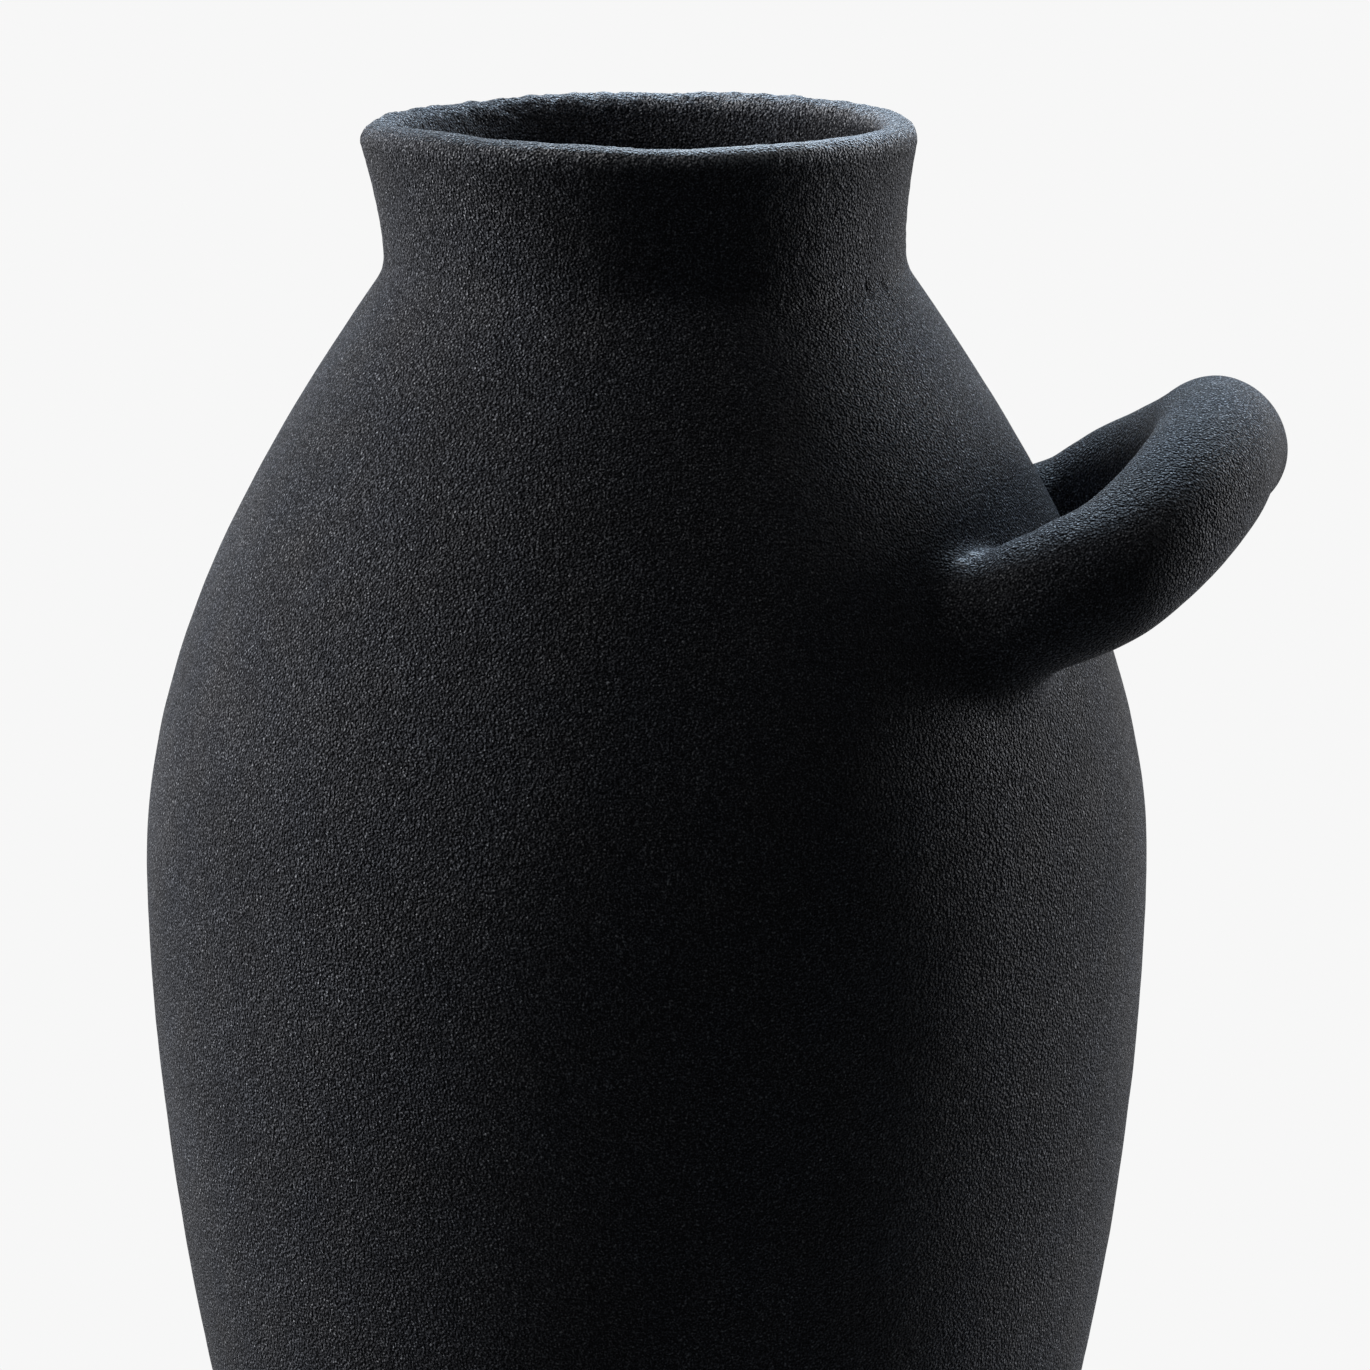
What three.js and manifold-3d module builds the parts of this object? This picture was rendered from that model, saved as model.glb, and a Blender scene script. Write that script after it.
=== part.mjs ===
// A hand-built stoneware vase with one looped coil handle, in millimetres.
// The origin is the middle of the underside, +Z is up and +X points to the handle.
import * as THREE from "three";
import { mergeVertices } from "three/addons/utils/BufferGeometryUtils.js";
import Module from "manifold-3d";

// Outer profile of the vessel: a radius, a height and a slope (radius gained per height) at each station.
const FOOT_RADIUS = 70;
const FOOT_TAPER = 0.255;
const BELLY_RADIUS = 100;
const BELLY_HEIGHT = 182.5;
const SHOULDER_RADIUS = 53.4; // at the joint with the collar
const SHOULDER_RISE = 115.8; // joint above the belly's widest point
const SHOULDER_SLOPE = -0.7;
const CREASE_RADIUS = 51.6; // narrowest point of the neck
const CREASE_RISE = 5.2; // crease above the joint
const LIP_RADIUS = 54.8;
const LIP_RISE = 22.5; // springing of the rounded lip above the crease
const LIP_FLARE = 0.235;
const LIP_CROWN = 4; // height of the rounded lip
const LIP_SQUARE = 3.6; // power of the lip's arc: 2 is an ellipse, and more is flatter with tighter corners
const COLLAR_LEAN = -1.6; // sideways drift of the lip, away from the handle

// Clay walls and the joints between the sections.
const WALL = 8;
const JOINT_GAP = 0.3; // slip layer between two sections
const FOOT_ROUND = 3; // rounding of the lower edge
const BASE_LEDGE = 7; // height of the ledge that the wall stands on
const BASE_THICKNESS = 12;
const SEAM_RISE = 29.5; // belly seam above the widest point
const SEAM_BEVEL = 3; // fall of a seam from the outer to the inner face
const NECK_BEVEL = 2;

// Coils of soft clay that are worked into the seams on the inside.
const CORNER_COIL = 9; // leg of the coil in the corner between floor and wall
const BELLY_COIL_HALF = 8; // half height of the band that backs the belly seam
const BELLY_COIL_DEPTH = 2.5;
const COIL_EDGE = 0.8; // thickness left where a coil is feathered out

// Handle: a coil bent into an ellipse in plan, which leaves the wall square to it and rises to its middle.
const HANDLE_HEIGHT = 244; // middle of the coil where the loop is widest
const HANDLE_HALF_SPAN = 51; // middle of the coil from the handle's middle plane, where the loop is widest
const HANDLE_INSET = 2.5; // widest part of the loop, inside the wall's outer radius
const HANDLE_STANDOFF = 28.2; // middle of the coil beyond the wall, at the middle of the loop
const HANDLE_LIFT = 21.8; // rise from the widest part of the loop to its middle
const LIFT_BEND = 0.5; // 0 keeps the loop in one plane, and 1 starts it level
const COIL_RADIUS = 13.3;
const LUTE_ALONG = 9; // reach of the luting coil up the handle
const LUTE_ACROSS = 7.5; // reach of the luting coil over the wall
const HANDLE_SWEEP = THREE.MathUtils.degToRad(130); // far enough round for both ends to lie inside the wall

// Fineness of the facets.
const AROUND = 60;
const BODY_ROW = 13; // height of a row of facets on the body
const COIL_ROW = 4;
const COLLAR_ROW = 5;
const CREASE_ROW = 2;
const FOOT_STEPS = 4;
const LIP_STEPS = 8;
const HOLLOW_STEPS = 5;
const HANDLE_STEPS = 44;
const HANDLE_SIDES = 20;
const LUTE_SECTIONS = 32;
const HALVINGS = 40; // when the place where the handle leaves the wall is sought
const MERGE = 1e-4;

const SEAM_Z = BELLY_HEIGHT + SEAM_RISE;
const JOINT_Z = BELLY_HEIGHT + SHOULDER_RISE;
const CREASE_Z = JOINT_Z + CREASE_RISE;
const LIP_Z = CREASE_Z + LIP_RISE;
const RIM_Z = LIP_Z + LIP_CROWN;

const STATIONS = [
  { z: 0, r: FOOT_RADIUS, slope: FOOT_TAPER },
  { z: BELLY_HEIGHT, r: BELLY_RADIUS, slope: 0 },
  { z: JOINT_Z, r: SHOULDER_RADIUS, slope: SHOULDER_SLOPE },
  { z: CREASE_Z, r: CREASE_RADIUS, slope: 0 },
  { z: LIP_Z, r: LIP_RADIUS, slope: LIP_FLARE },
];

// The two stations around a height, the share of the way between them and the height between them.
function stationsAt(z) {
  const inside = STATIONS.findIndex((station) => station.z >= z);
  const above = inside < 0 ? STATIONS.length - 1 : Math.max(inside, 1);
  const low = STATIONS[above - 1];
  const high = STATIONS[above];
  const span = high.z - low.z;
  return { low, high, span, s: (z - low.z) / span };
}

// Outer radius at a height: a cubic between the stations, with their radii and slopes.
function outerRadius(z) {
  const { low, high, span, s } = stationsAt(z);
  const rise = s * s * (3 - 2 * s);
  const leave = s * (1 - s) * (1 - s) * span;
  const arrive = s * s * (s - 1) * span;
  return low.r * (1 - rise) + high.r * rise + low.slope * leave + high.slope * arrive;
}

function outerSlope(z) {
  const { low, high, span, s } = stationsAt(z);
  const rise = (6 * s * (1 - s) * (high.r - low.r)) / span;
  return rise + low.slope * (1 - s) * (1 - 3 * s) + high.slope * s * (3 * s - 2);
}

// Distance across the wall on the level, for a thickness measured square to its face.
const onLevel = (thickness, z) => thickness * Math.hypot(1, outerSlope(z));
const innerRadius = (z) => outerRadius(z) - onLevel(WALL, z);
const insideWall = (z) => innerRadius(z) - onLevel(JOINT_GAP, z);
const outsideWall = (z) => outerRadius(z) + onLevel(JOINT_GAP, z);

// Points of a face of revolution between two heights, in rows no higher than the one given.
function face(radiusAt, from, to, row) {
  const steps = Math.ceil(Math.abs(to - from) / row);
  return Array.from({ length: steps + 1 }, (_, i) => {
    const z = THREE.MathUtils.lerp(from, to, i / steps);
    return new THREE.Vector2(radiusAt(z), z);
  });
}

function revolve(points) {
  return new THREE.LatheGeometry(points, AROUND).rotateX(Math.PI / 2);
}

// A ring whose section is the closed outline of the points.
const revolveRing = (points) => revolve([...points, points[0].clone()]);

const wasm = await Module();
wasm.setup();

function solidOf(geometry) {
  const bare = geometry.clone();
  bare.deleteAttribute("normal");
  bare.deleteAttribute("uv");
  const merged = mergeVertices(bare, MERGE);
  return new wasm.Manifold(
    new wasm.Mesh({
      numProp: 3,
      vertProperties: merged.attributes.position.array,
      triVerts: Uint32Array.from(merged.index.array),
    }),
  );
}

function geometryOf(solid) {
  const { vertProperties, triVerts } = solid.getMesh();
  const geometry = new THREE.BufferGeometry();
  geometry.setAttribute("position", new THREE.BufferAttribute(vertProperties, 3));
  geometry.setIndex(new THREE.BufferAttribute(triVerts, 1));
  geometry.computeVertexNormals();
  return geometry;
}

// Slab that closes the vessel: a rounded foot, a ledge for the wall and a raised floor inside the wall.
function baseDisc() {
  const startRadius = FOOT_RADIUS - FOOT_ROUND;
  const roundReach = outerRadius(FOOT_ROUND) - startRadius;
  const rounding = Array.from({ length: FOOT_STEPS + 1 }, (_, i) => {
    const angle = (i / FOOT_STEPS) * (Math.PI / 2);
    const radius = startRadius + roundReach * Math.sin(angle);
    return new THREE.Vector2(radius, FOOT_ROUND * (1 - Math.cos(angle)));
  });
  return revolve([
    new THREE.Vector2(0, 0),
    ...rounding,
    new THREE.Vector2(outerRadius(BASE_LEDGE), BASE_LEDGE),
    new THREE.Vector2(insideWall(BASE_LEDGE), BASE_LEDGE),
    new THREE.Vector2(insideWall(BASE_THICKNESS), BASE_THICKNESS),
    new THREE.Vector2(0, BASE_THICKNESS),
  ]);
}

// Wall of the vessel between two joints, each given by its height on the outer and on the inner face.
function wallSection(bottom, top) {
  return revolveRing([
    ...face(outerRadius, bottom.outer, top.outer, BODY_ROW),
    ...face(innerRadius, top.inner, bottom.inner, BODY_ROW),
  ]);
}

const baseJoint = { outer: BASE_LEDGE + JOINT_GAP, inner: BASE_LEDGE + JOINT_GAP };
const bellySeam = { outer: SEAM_Z, inner: SEAM_Z - SEAM_BEVEL };
const neckJoint = { outer: JOINT_Z, inner: JOINT_Z - NECK_BEVEL };
const above = (joint) => ({ outer: joint.outer + JOINT_GAP, inner: joint.inner + JOINT_GAP });

// Moves a sine or cosine out, so that the arc that it draws gets squarer.
const squarer = (value) => Math.sign(value) * Math.abs(value) ** (2 / LIP_SQUARE);

// Flared collar with a rounded lip, which leans a little as it stands on the shoulder.
function neckCollar() {
  const foot = above(neckJoint);
  const middle = (outerRadius(LIP_Z) + innerRadius(LIP_Z)) / 2;
  const half = outerRadius(LIP_Z) - middle;
  const lipArc = Array.from({ length: LIP_STEPS - 1 }, (_, i) => {
    const angle = ((i + 1) / LIP_STEPS) * Math.PI;
    const across = half * squarer(Math.cos(angle));
    return new THREE.Vector2(middle + across, LIP_Z + LIP_CROWN * squarer(Math.sin(angle)));
  });
  const lean = new THREE.Matrix4().makeShear(0, 0, 0, 0, COLLAR_LEAN / (RIM_Z - JOINT_Z), 0);
  return revolveRing([
    ...face(outerRadius, foot.outer, CREASE_Z, CREASE_ROW),
    ...face(outerRadius, CREASE_Z, LIP_Z, COLLAR_ROW).slice(1),
    ...lipArc,
    ...face(innerRadius, LIP_Z, foot.inner, COLLAR_ROW),
  ])
    .translate(0, 0, -JOINT_Z)
    .applyMatrix4(lean)
    .translate(0, 0, JOINT_Z);
}

// Hollow fillet in the corner between the floor and the wall.
function baseSeamCoil() {
  const floor = BASE_THICKNESS + JOINT_GAP;
  const top = floor + CORNER_COIL;
  const corner = new THREE.Vector2(insideWall(floor), floor);
  const toe = corner.x - CORNER_COIL;
  const hollow = new THREE.QuadraticBezierCurve(
    new THREE.Vector2(insideWall(top) - COIL_EDGE, top),
    new THREE.Vector2(corner.x - COIL_EDGE, floor + COIL_EDGE),
    new THREE.Vector2(toe, floor + COIL_EDGE),
  );
  return revolveRing([
    corner,
    new THREE.Vector2(insideWall(top), top),
    ...hollow.getPoints(HOLLOW_STEPS),
    new THREE.Vector2(toe, floor),
  ]);
}

// Low rounded band pressed over the inside of the belly seam.
function bellySeamCoil() {
  const middle = bellySeam.inner + JOINT_GAP / 2;
  const crown = (z) => Math.cos((Math.PI / 2) * ((z - middle) / BELLY_COIL_HALF)) ** 2;
  const bandFace = (z) => insideWall(z) - COIL_EDGE - BELLY_COIL_DEPTH * crown(z);
  const low = middle - BELLY_COIL_HALF;
  const high = middle + BELLY_COIL_HALF;
  return revolveRing([...face(insideWall, low, high, COIL_ROW), ...face(bandFace, high, low, COIL_ROW)]);
}

class HandlePath extends THREE.Curve {
  getPoint(t, target = new THREE.Vector3()) {
    const middle = outerRadius(HANDLE_HEIGHT) - HANDLE_INSET;
    const reach = HANDLE_INSET + HANDLE_STANDOFF;
    const angle = THREE.MathUtils.lerp(-HANDLE_SWEEP, HANDLE_SWEEP, t);
    const out = Math.cos(angle);
    const rise = HANDLE_LIFT * out * THREE.MathUtils.lerp(1, Math.abs(out), LIFT_BEND);
    return target.set(middle + reach * out, HANDLE_HALF_SPAN * Math.sin(angle), HANDLE_HEIGHT + rise);
  }
}

const handlePath = new HandlePath();
const UPRIGHT = new THREE.Vector3(0, 0, 1);

// Coil of clay along the handle's path, with both ends cut to the wall.
function handleCoil() {
  const section = new THREE.Shape().absarc(0, 0, COIL_RADIUS, 0, 2 * Math.PI);
  const coil = new THREE.ExtrudeGeometry(section, {
    steps: HANDLE_STEPS,
    curveSegments: HANDLE_SIDES / 2, // counted on half a circle
    bevelEnabled: false,
    extrudePath: handlePath,
  });
  const vessel = revolve([
    new THREE.Vector2(0, 0),
    ...face(outsideWall, 0, JOINT_Z, BODY_ROW),
    new THREE.Vector2(0, JOINT_Z),
  ]);
  return geometryOf(solidOf(coil).subtract(solidOf(vessel)));
}

// The handle's surface at a share of the path from one end, with the direction that points out of the coil.
function coilSurface(share, angle, fromFront) {
  const at = fromFront ? share : 1 - share;
  const along = handlePath.getTangentAt(at).multiplyScalar(fromFront ? 1 : -1);
  const side = new THREE.Vector3().crossVectors(along, UPRIGHT).normalize();
  const up = new THREE.Vector3().crossVectors(side, along);
  const out = side.multiplyScalar(Math.cos(angle)).addScaledVector(up, Math.sin(angle));
  return { point: handlePath.getPointAt(at).addScaledVector(out, COIL_RADIUS), out };
}

// Share of the path where a line along the coil leaves the vessel's outer face, found by halving.
function rootShare(angle, fromFront) {
  let inside = 0;
  let outside = 0.5;
  for (let i = 0; i < HALVINGS; i++) {
    const share = (inside + outside) / 2;
    const { point } = coilSurface(share, angle, fromFront);
    if (Math.hypot(point.x, point.y) < outerRadius(point.z)) inside = share;
    else outside = share;
  }
  return outside;
}

// Direction out of the vessel's outer face at a point on it.
function wallNormal({ x, y, z }) {
  const radius = Math.hypot(x, y);
  return new THREE.Vector3(x / radius, y / radius, -outerSlope(z)).normalize();
}

// One section of the luting coil: a hollow fillet from the handle's surface to the wall.
function luteSection(angle, fromFront) {
  const share = rootShare(angle, fromFront);
  const step = LUTE_ALONG / handlePath.getLength();
  const root = coilSurface(share, angle, fromFront);
  const half = coilSurface(share + step / 2, angle, fromFront);
  const tip = coilSurface(share + step, angle, fromFront);
  const normal = wallNormal(root.point);
  const away = root.out.clone().projectOnPlane(normal).normalize();
  const toe = root.point.clone().addScaledVector(away, LUTE_ACROSS);
  const onWall = outerRadius(toe.z) / Math.hypot(toe.x, toe.y);
  toe.set(toe.x * onWall, toe.y * onWall, toe.z);
  const toeNormal = wallNormal(toe);

  // The corner moves along the bisector, so that it clears the coil and the wall alike.
  const bisector = root.out.clone().add(normal);
  bisector.divideScalar(1 + root.out.dot(normal));
  const corner = (clear) => root.point.clone().addScaledVector(bisector, clear);
  const onCoil = (place, clear) => place.point.clone().addScaledVector(place.out, clear);
  const onToe = (clear) => toe.clone().addScaledVector(toeNormal, clear);
  const edge = JOINT_GAP + COIL_EDGE;
  const hollow = new THREE.QuadraticBezierCurve3(onCoil(tip, edge), corner(edge), onToe(edge));
  return [
    onCoil(half, JOINT_GAP),
    onCoil(tip, JOINT_GAP),
    ...hollow.getPoints(HOLLOW_STEPS),
    onToe(JOINT_GAP),
    corner(JOINT_GAP),
  ];
}

// Ring of soft clay worked into the corner round one root of the handle.
function lutingCoil(fromFront) {
  const sections = Array.from({ length: LUTE_SECTIONS }, (_, i) =>
    luteSection((i / LUTE_SECTIONS) * 2 * Math.PI, fromFront),
  );
  const count = sections[0].length;
  const index = [];
  sections.forEach((_, i) => {
    const here = i * count;
    const next = ((i + 1) % LUTE_SECTIONS) * count;
    for (let j = 0; j < count; j++) {
      const k = (j + 1) % count;
      index.push(here + j, next + j, here + k, here + k, next + j, next + k);
    }
  });
  const geometry = new THREE.BufferGeometry().setFromPoints(sections.flat());
  geometry.setIndex(index);
  geometry.computeVertexNormals();
  return geometry;
}

const sandedClay = () => new THREE.MeshStandardMaterial({ color: 0x3a3b3e, roughness: 0.95, metalness: 0 });
const bareClay = () => new THREE.MeshStandardMaterial({ color: 0x2e2d2d, roughness: 0.9, metalness: 0 });

const vase = new THREE.Group();

function addPiece(name, geometry, material) {
  const mesh = new THREE.Mesh(geometry, material);
  mesh.name = name;
  vase.add(mesh);
}

addPiece("base_disc", baseDisc(), sandedClay());
addPiece("base_seam_coil", baseSeamCoil(), bareClay());
addPiece("lower_body", wallSection(baseJoint, bellySeam), sandedClay());
addPiece("belly_seam_coil", bellySeamCoil(), bareClay());
addPiece("upper_body", wallSection(above(bellySeam), neckJoint), sandedClay());
addPiece("neck_collar", neckCollar(), sandedClay());
addPiece("handle_coil", handleCoil(), sandedClay());
addPiece("luting_coil_front", lutingCoil(true), sandedClay());
addPiece("luting_coil_rear", lutingCoil(false), sandedClay());

export default vase;
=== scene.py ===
"""Looks of a hand-built stoneware vase with one looped coil handle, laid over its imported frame.

Everything is in metres. The origin is the middle of the underside, +Z is up and +X points to the handle.
"""

import logging
import math
from collections.abc import Callable, Sequence
from dataclasses import dataclass
from enum import Enum

import bmesh
import bpy
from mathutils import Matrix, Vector


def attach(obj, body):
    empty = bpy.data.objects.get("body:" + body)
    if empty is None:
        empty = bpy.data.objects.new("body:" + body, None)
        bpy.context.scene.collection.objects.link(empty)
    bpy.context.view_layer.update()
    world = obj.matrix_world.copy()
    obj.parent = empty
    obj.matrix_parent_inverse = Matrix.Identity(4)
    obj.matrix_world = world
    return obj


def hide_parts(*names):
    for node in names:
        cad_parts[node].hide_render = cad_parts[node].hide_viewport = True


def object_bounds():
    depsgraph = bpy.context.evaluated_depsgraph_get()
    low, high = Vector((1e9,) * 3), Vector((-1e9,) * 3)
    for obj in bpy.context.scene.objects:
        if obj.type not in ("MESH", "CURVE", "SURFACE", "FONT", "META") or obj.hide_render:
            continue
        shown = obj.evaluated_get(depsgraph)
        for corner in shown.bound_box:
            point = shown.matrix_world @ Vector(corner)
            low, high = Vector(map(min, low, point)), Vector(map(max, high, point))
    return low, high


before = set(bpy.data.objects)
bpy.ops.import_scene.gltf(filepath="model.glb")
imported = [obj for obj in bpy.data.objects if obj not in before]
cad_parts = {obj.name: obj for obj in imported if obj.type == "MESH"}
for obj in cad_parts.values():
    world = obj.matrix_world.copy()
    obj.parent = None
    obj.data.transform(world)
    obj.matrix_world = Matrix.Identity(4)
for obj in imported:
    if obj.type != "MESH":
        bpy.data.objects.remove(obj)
CAD_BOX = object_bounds()

LOG = logging.getLogger("vase")
MM = 0.001
ROOT_BODY = "root"
# Points nearer than MERGE become one, and a point within ON_LEVEL of a height lies at it.
MERGE = 0.002 * MM
ON_LEVEL = 0.1 * MM
# How far the dressed belly stands proud of the frame's box.
BELLY_PROUD = 0.3 * MM
# Edges that bend less than this are shaded smooth.
SMOOTH_ANGLE = math.radians(50)
# Point attribute that lightens the clay: rubbing on the lip, painted highlights on the lip, the handle's
# top and its luting coils, and painted glints on two crumbs.
RUB_AND_HIGHLIGHT = "rub_and_highlight"
UP = Vector((0, 0, 1))


class Slot(Enum):
    """Material slots of the record."""

    SANDED = "sanded_stoneware"
    BARE = "bare_clay"


class Zone(Enum):
    """Vertex groups that weigh an unevenness."""

    ALL = ""
    CLAY = "clay"
    COLLAR = "collar"
    RIM = "rim"


class Side(Enum):
    """The two roots of the handle, by the sign of their place along Y."""

    FRONT = -1
    REAR = 1


def linear(code: str) -> tuple[float, ...]:
    """Turns an sRGB hex code into a linear colour with alpha."""
    parts = [int(code[i : i + 2], 16) / 255 for i in (1, 3, 5)]
    return *(p / 12.92 if p <= 0.04045 else ((p + 0.055) / 1.055) ** 2.4 for p in parts), 1.0


def ease(low: float, high: float, value: float) -> float:
    """Smooth step from 0 at low to 1 at high."""
    share = min(max((value - low) / (high - low), 0.0), 1.0)
    return share * share * (3 - 2 * share)


def empty_tree(owner: bpy.types.Material | bpy.types.World) -> bpy.types.NodeTree:
    """Gives the node tree of a material or a world, with nothing in it."""
    owner.use_nodes = True
    owner.node_tree.nodes.clear()
    return owner.node_tree


def add_node(tree: bpy.types.NodeTree, kind: str, inputs: dict | None = None, **settings) -> bpy.types.Node:
    """Adds a node with its settings, and sets or links its inputs.

    Args:
        tree: the tree that takes the node.
        kind: Blender's name for the node's type.
        inputs: a value, or an output socket to link, for each input by name or number.
        settings: properties of the node.

    Returns:
        The new node.
    """
    node = tree.nodes.new(kind)
    for name, value in settings.items():
        setattr(node, name, value)
    for name, value in (inputs or {}).items():
        if isinstance(value, bpy.types.NodeSocket):
            tree.links.new(value, node.inputs[name])
        else:
            node.inputs[name].default_value = value
    return node


def activate(made: bpy.types.Object) -> None:
    """Selects an object alone, and makes it the active one."""
    bpy.ops.object.select_all(action="DESELECT")
    made.select_set(True)
    bpy.context.view_layer.objects.active = made


def start_mesh(name: str, add: Callable, **settings) -> bpy.types.Object:
    """Adds a primitive with nothing else selected, and names it.

    Args:
        name: name of the new object and its mesh.
        add: the primitive's operator.
        settings: the operator's settings.

    Returns:
        The new object, which is active and selected.
    """
    bpy.ops.object.select_all(action="DESELECT")
    add(**settings)
    made = bpy.context.object
    made.name = name
    made.data.name = name
    return made


def close_mesh() -> None:
    """Merges doubles, turns the faces outwards and leaves edit mode."""
    bpy.ops.mesh.select_all(action="SELECT")
    bpy.ops.mesh.remove_doubles(threshold=MERGE)
    bpy.ops.mesh.normals_make_consistent(inside=False)
    bpy.ops.object.mode_set(mode="OBJECT")


def spun(name: str, outline: Sequence[Vector], steps: int, closed: bool) -> bpy.types.Object:
    """Draws an outline of points (radius, 0, height) by extruding a vertex, and turns it round the Z axis.

    Args:
        name: name of the new object.
        outline: points of the outline in order.
        steps: faces round a full turn.
        closed: whether the last point joins the first.

    Returns:
        The spun object.
    """
    made = start_mesh(name, bpy.ops.mesh.primitive_plane_add, size=MM)
    bpy.ops.object.mode_set(mode="EDIT")
    bpy.ops.mesh.select_mode(type="VERT")
    bpy.ops.mesh.merge(type="CENTER")
    bpy.ops.transform.translate(value=outline[0])
    for last, point in zip(outline, outline[1:]):
        bpy.ops.mesh.extrude_vertices_move(TRANSFORM_OT_translate={"value": point - last})
    if closed:
        mesh = bmesh.from_edit_mesh(made.data)
        ends = [v for v in mesh.verts if len(v.link_edges) == 1]
        mesh.edges.new(ends)
        bmesh.update_edit_mesh(made.data)
    bpy.ops.object.mode_set(mode="OBJECT")
    lathe = made.modifiers.new("lathe", "SCREW")
    lathe.steps = steps
    lathe.render_steps = steps
    lathe.use_merge_vertices = True
    lathe.merge_threshold = MERGE
    bpy.ops.object.modifier_apply(modifier=lathe.name)
    bpy.ops.object.mode_set(mode="EDIT")
    close_mesh()
    return made


def rolled(name: str, columns: int, rows: int, place: Callable[[float, float], Vector]) -> bpy.types.Object:
    """Rolls a sheet of squares into a tube or a ring, and merges the edges that meet.

    Args:
        name: name of the new object.
        columns: squares round the first direction.
        rows: squares along the second direction.
        place: gives a point for two shares from 0 to 1.

    Returns:
        The rolled object.
    """
    made = start_mesh(
        name, bpy.ops.mesh.primitive_grid_add, x_subdivisions=columns, y_subdivisions=rows, size=1
    )
    for vertex in made.data.vertices:
        vertex.co = place(vertex.co.x + 0.5, vertex.co.y + 0.5)
    bpy.ops.object.mode_set(mode="EDIT")
    close_mesh()
    return made


def hollow(start: Vector, heel: Vector, end: Vector, steps: int) -> list[Vector]:
    """Points of a hollow curve between two points, which is drawn in towards a heel."""
    shares = [i / steps for i in range(steps + 1)]
    return [start * (1 - s) ** 2 + heel * (2 * s * (1 - s)) + end * s * s for s in shares]


@dataclass(frozen=True)
class Pressing:
    """An unevenness in the clay: the size, detail and height of its lumps, and the zone that has it."""

    name: str
    size: float
    detail: int
    height: float
    zone: Zone = Zone.ALL

    def press(self, made: bpy.types.Object) -> None:
        """Presses the unevenness into a piece, as a soft noise at the piece's own coordinates.

        Args:
            made: the piece.
        """
        texture = bpy.data.textures.new(self.name, "CLOUDS")
        texture.noise_basis = "IMPROVED_PERLIN"
        texture.noise_scale = self.size
        texture.noise_depth = self.detail
        activate(made)
        modifier = made.modifiers.new(self.name, "DISPLACE")
        modifier.texture = texture
        modifier.texture_coords = "LOCAL"
        modifier.strength = self.height
        modifier.mid_level = 0.5
        modifier.vertex_group = self.zone.value
        bpy.ops.object.modifier_apply(modifier=modifier.name)


def weigh(made: bpy.types.Object, zone: Zone, share: Callable[[Vector], float], levels: int = 24) -> None:
    """Fills a zone's vertex group with weights from a function of place, in even steps."""
    members: dict[int, list[int]] = {}
    for vertex in made.data.vertices:
        members.setdefault(round(share(vertex.co) * levels), []).append(vertex.index)
    target = made.vertex_groups.new(name=zone.value)
    for level, indices in members.items():
        target.add(indices, level / levels, "REPLACE")


def write_rub_and_highlight(made: bpy.types.Object, share: Callable[[bpy.types.MeshVertex], float]) -> None:
    """Writes the rubbing, painted highlight and painted glint of each point of a piece, from a function of
    its vertex.
    """
    values = [share(vertex) for vertex in made.data.vertices]
    made.data.attributes.new(RUB_AND_HIGHLIGHT, "FLOAT", "POINT").data.foreach_set("value", values)


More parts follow.
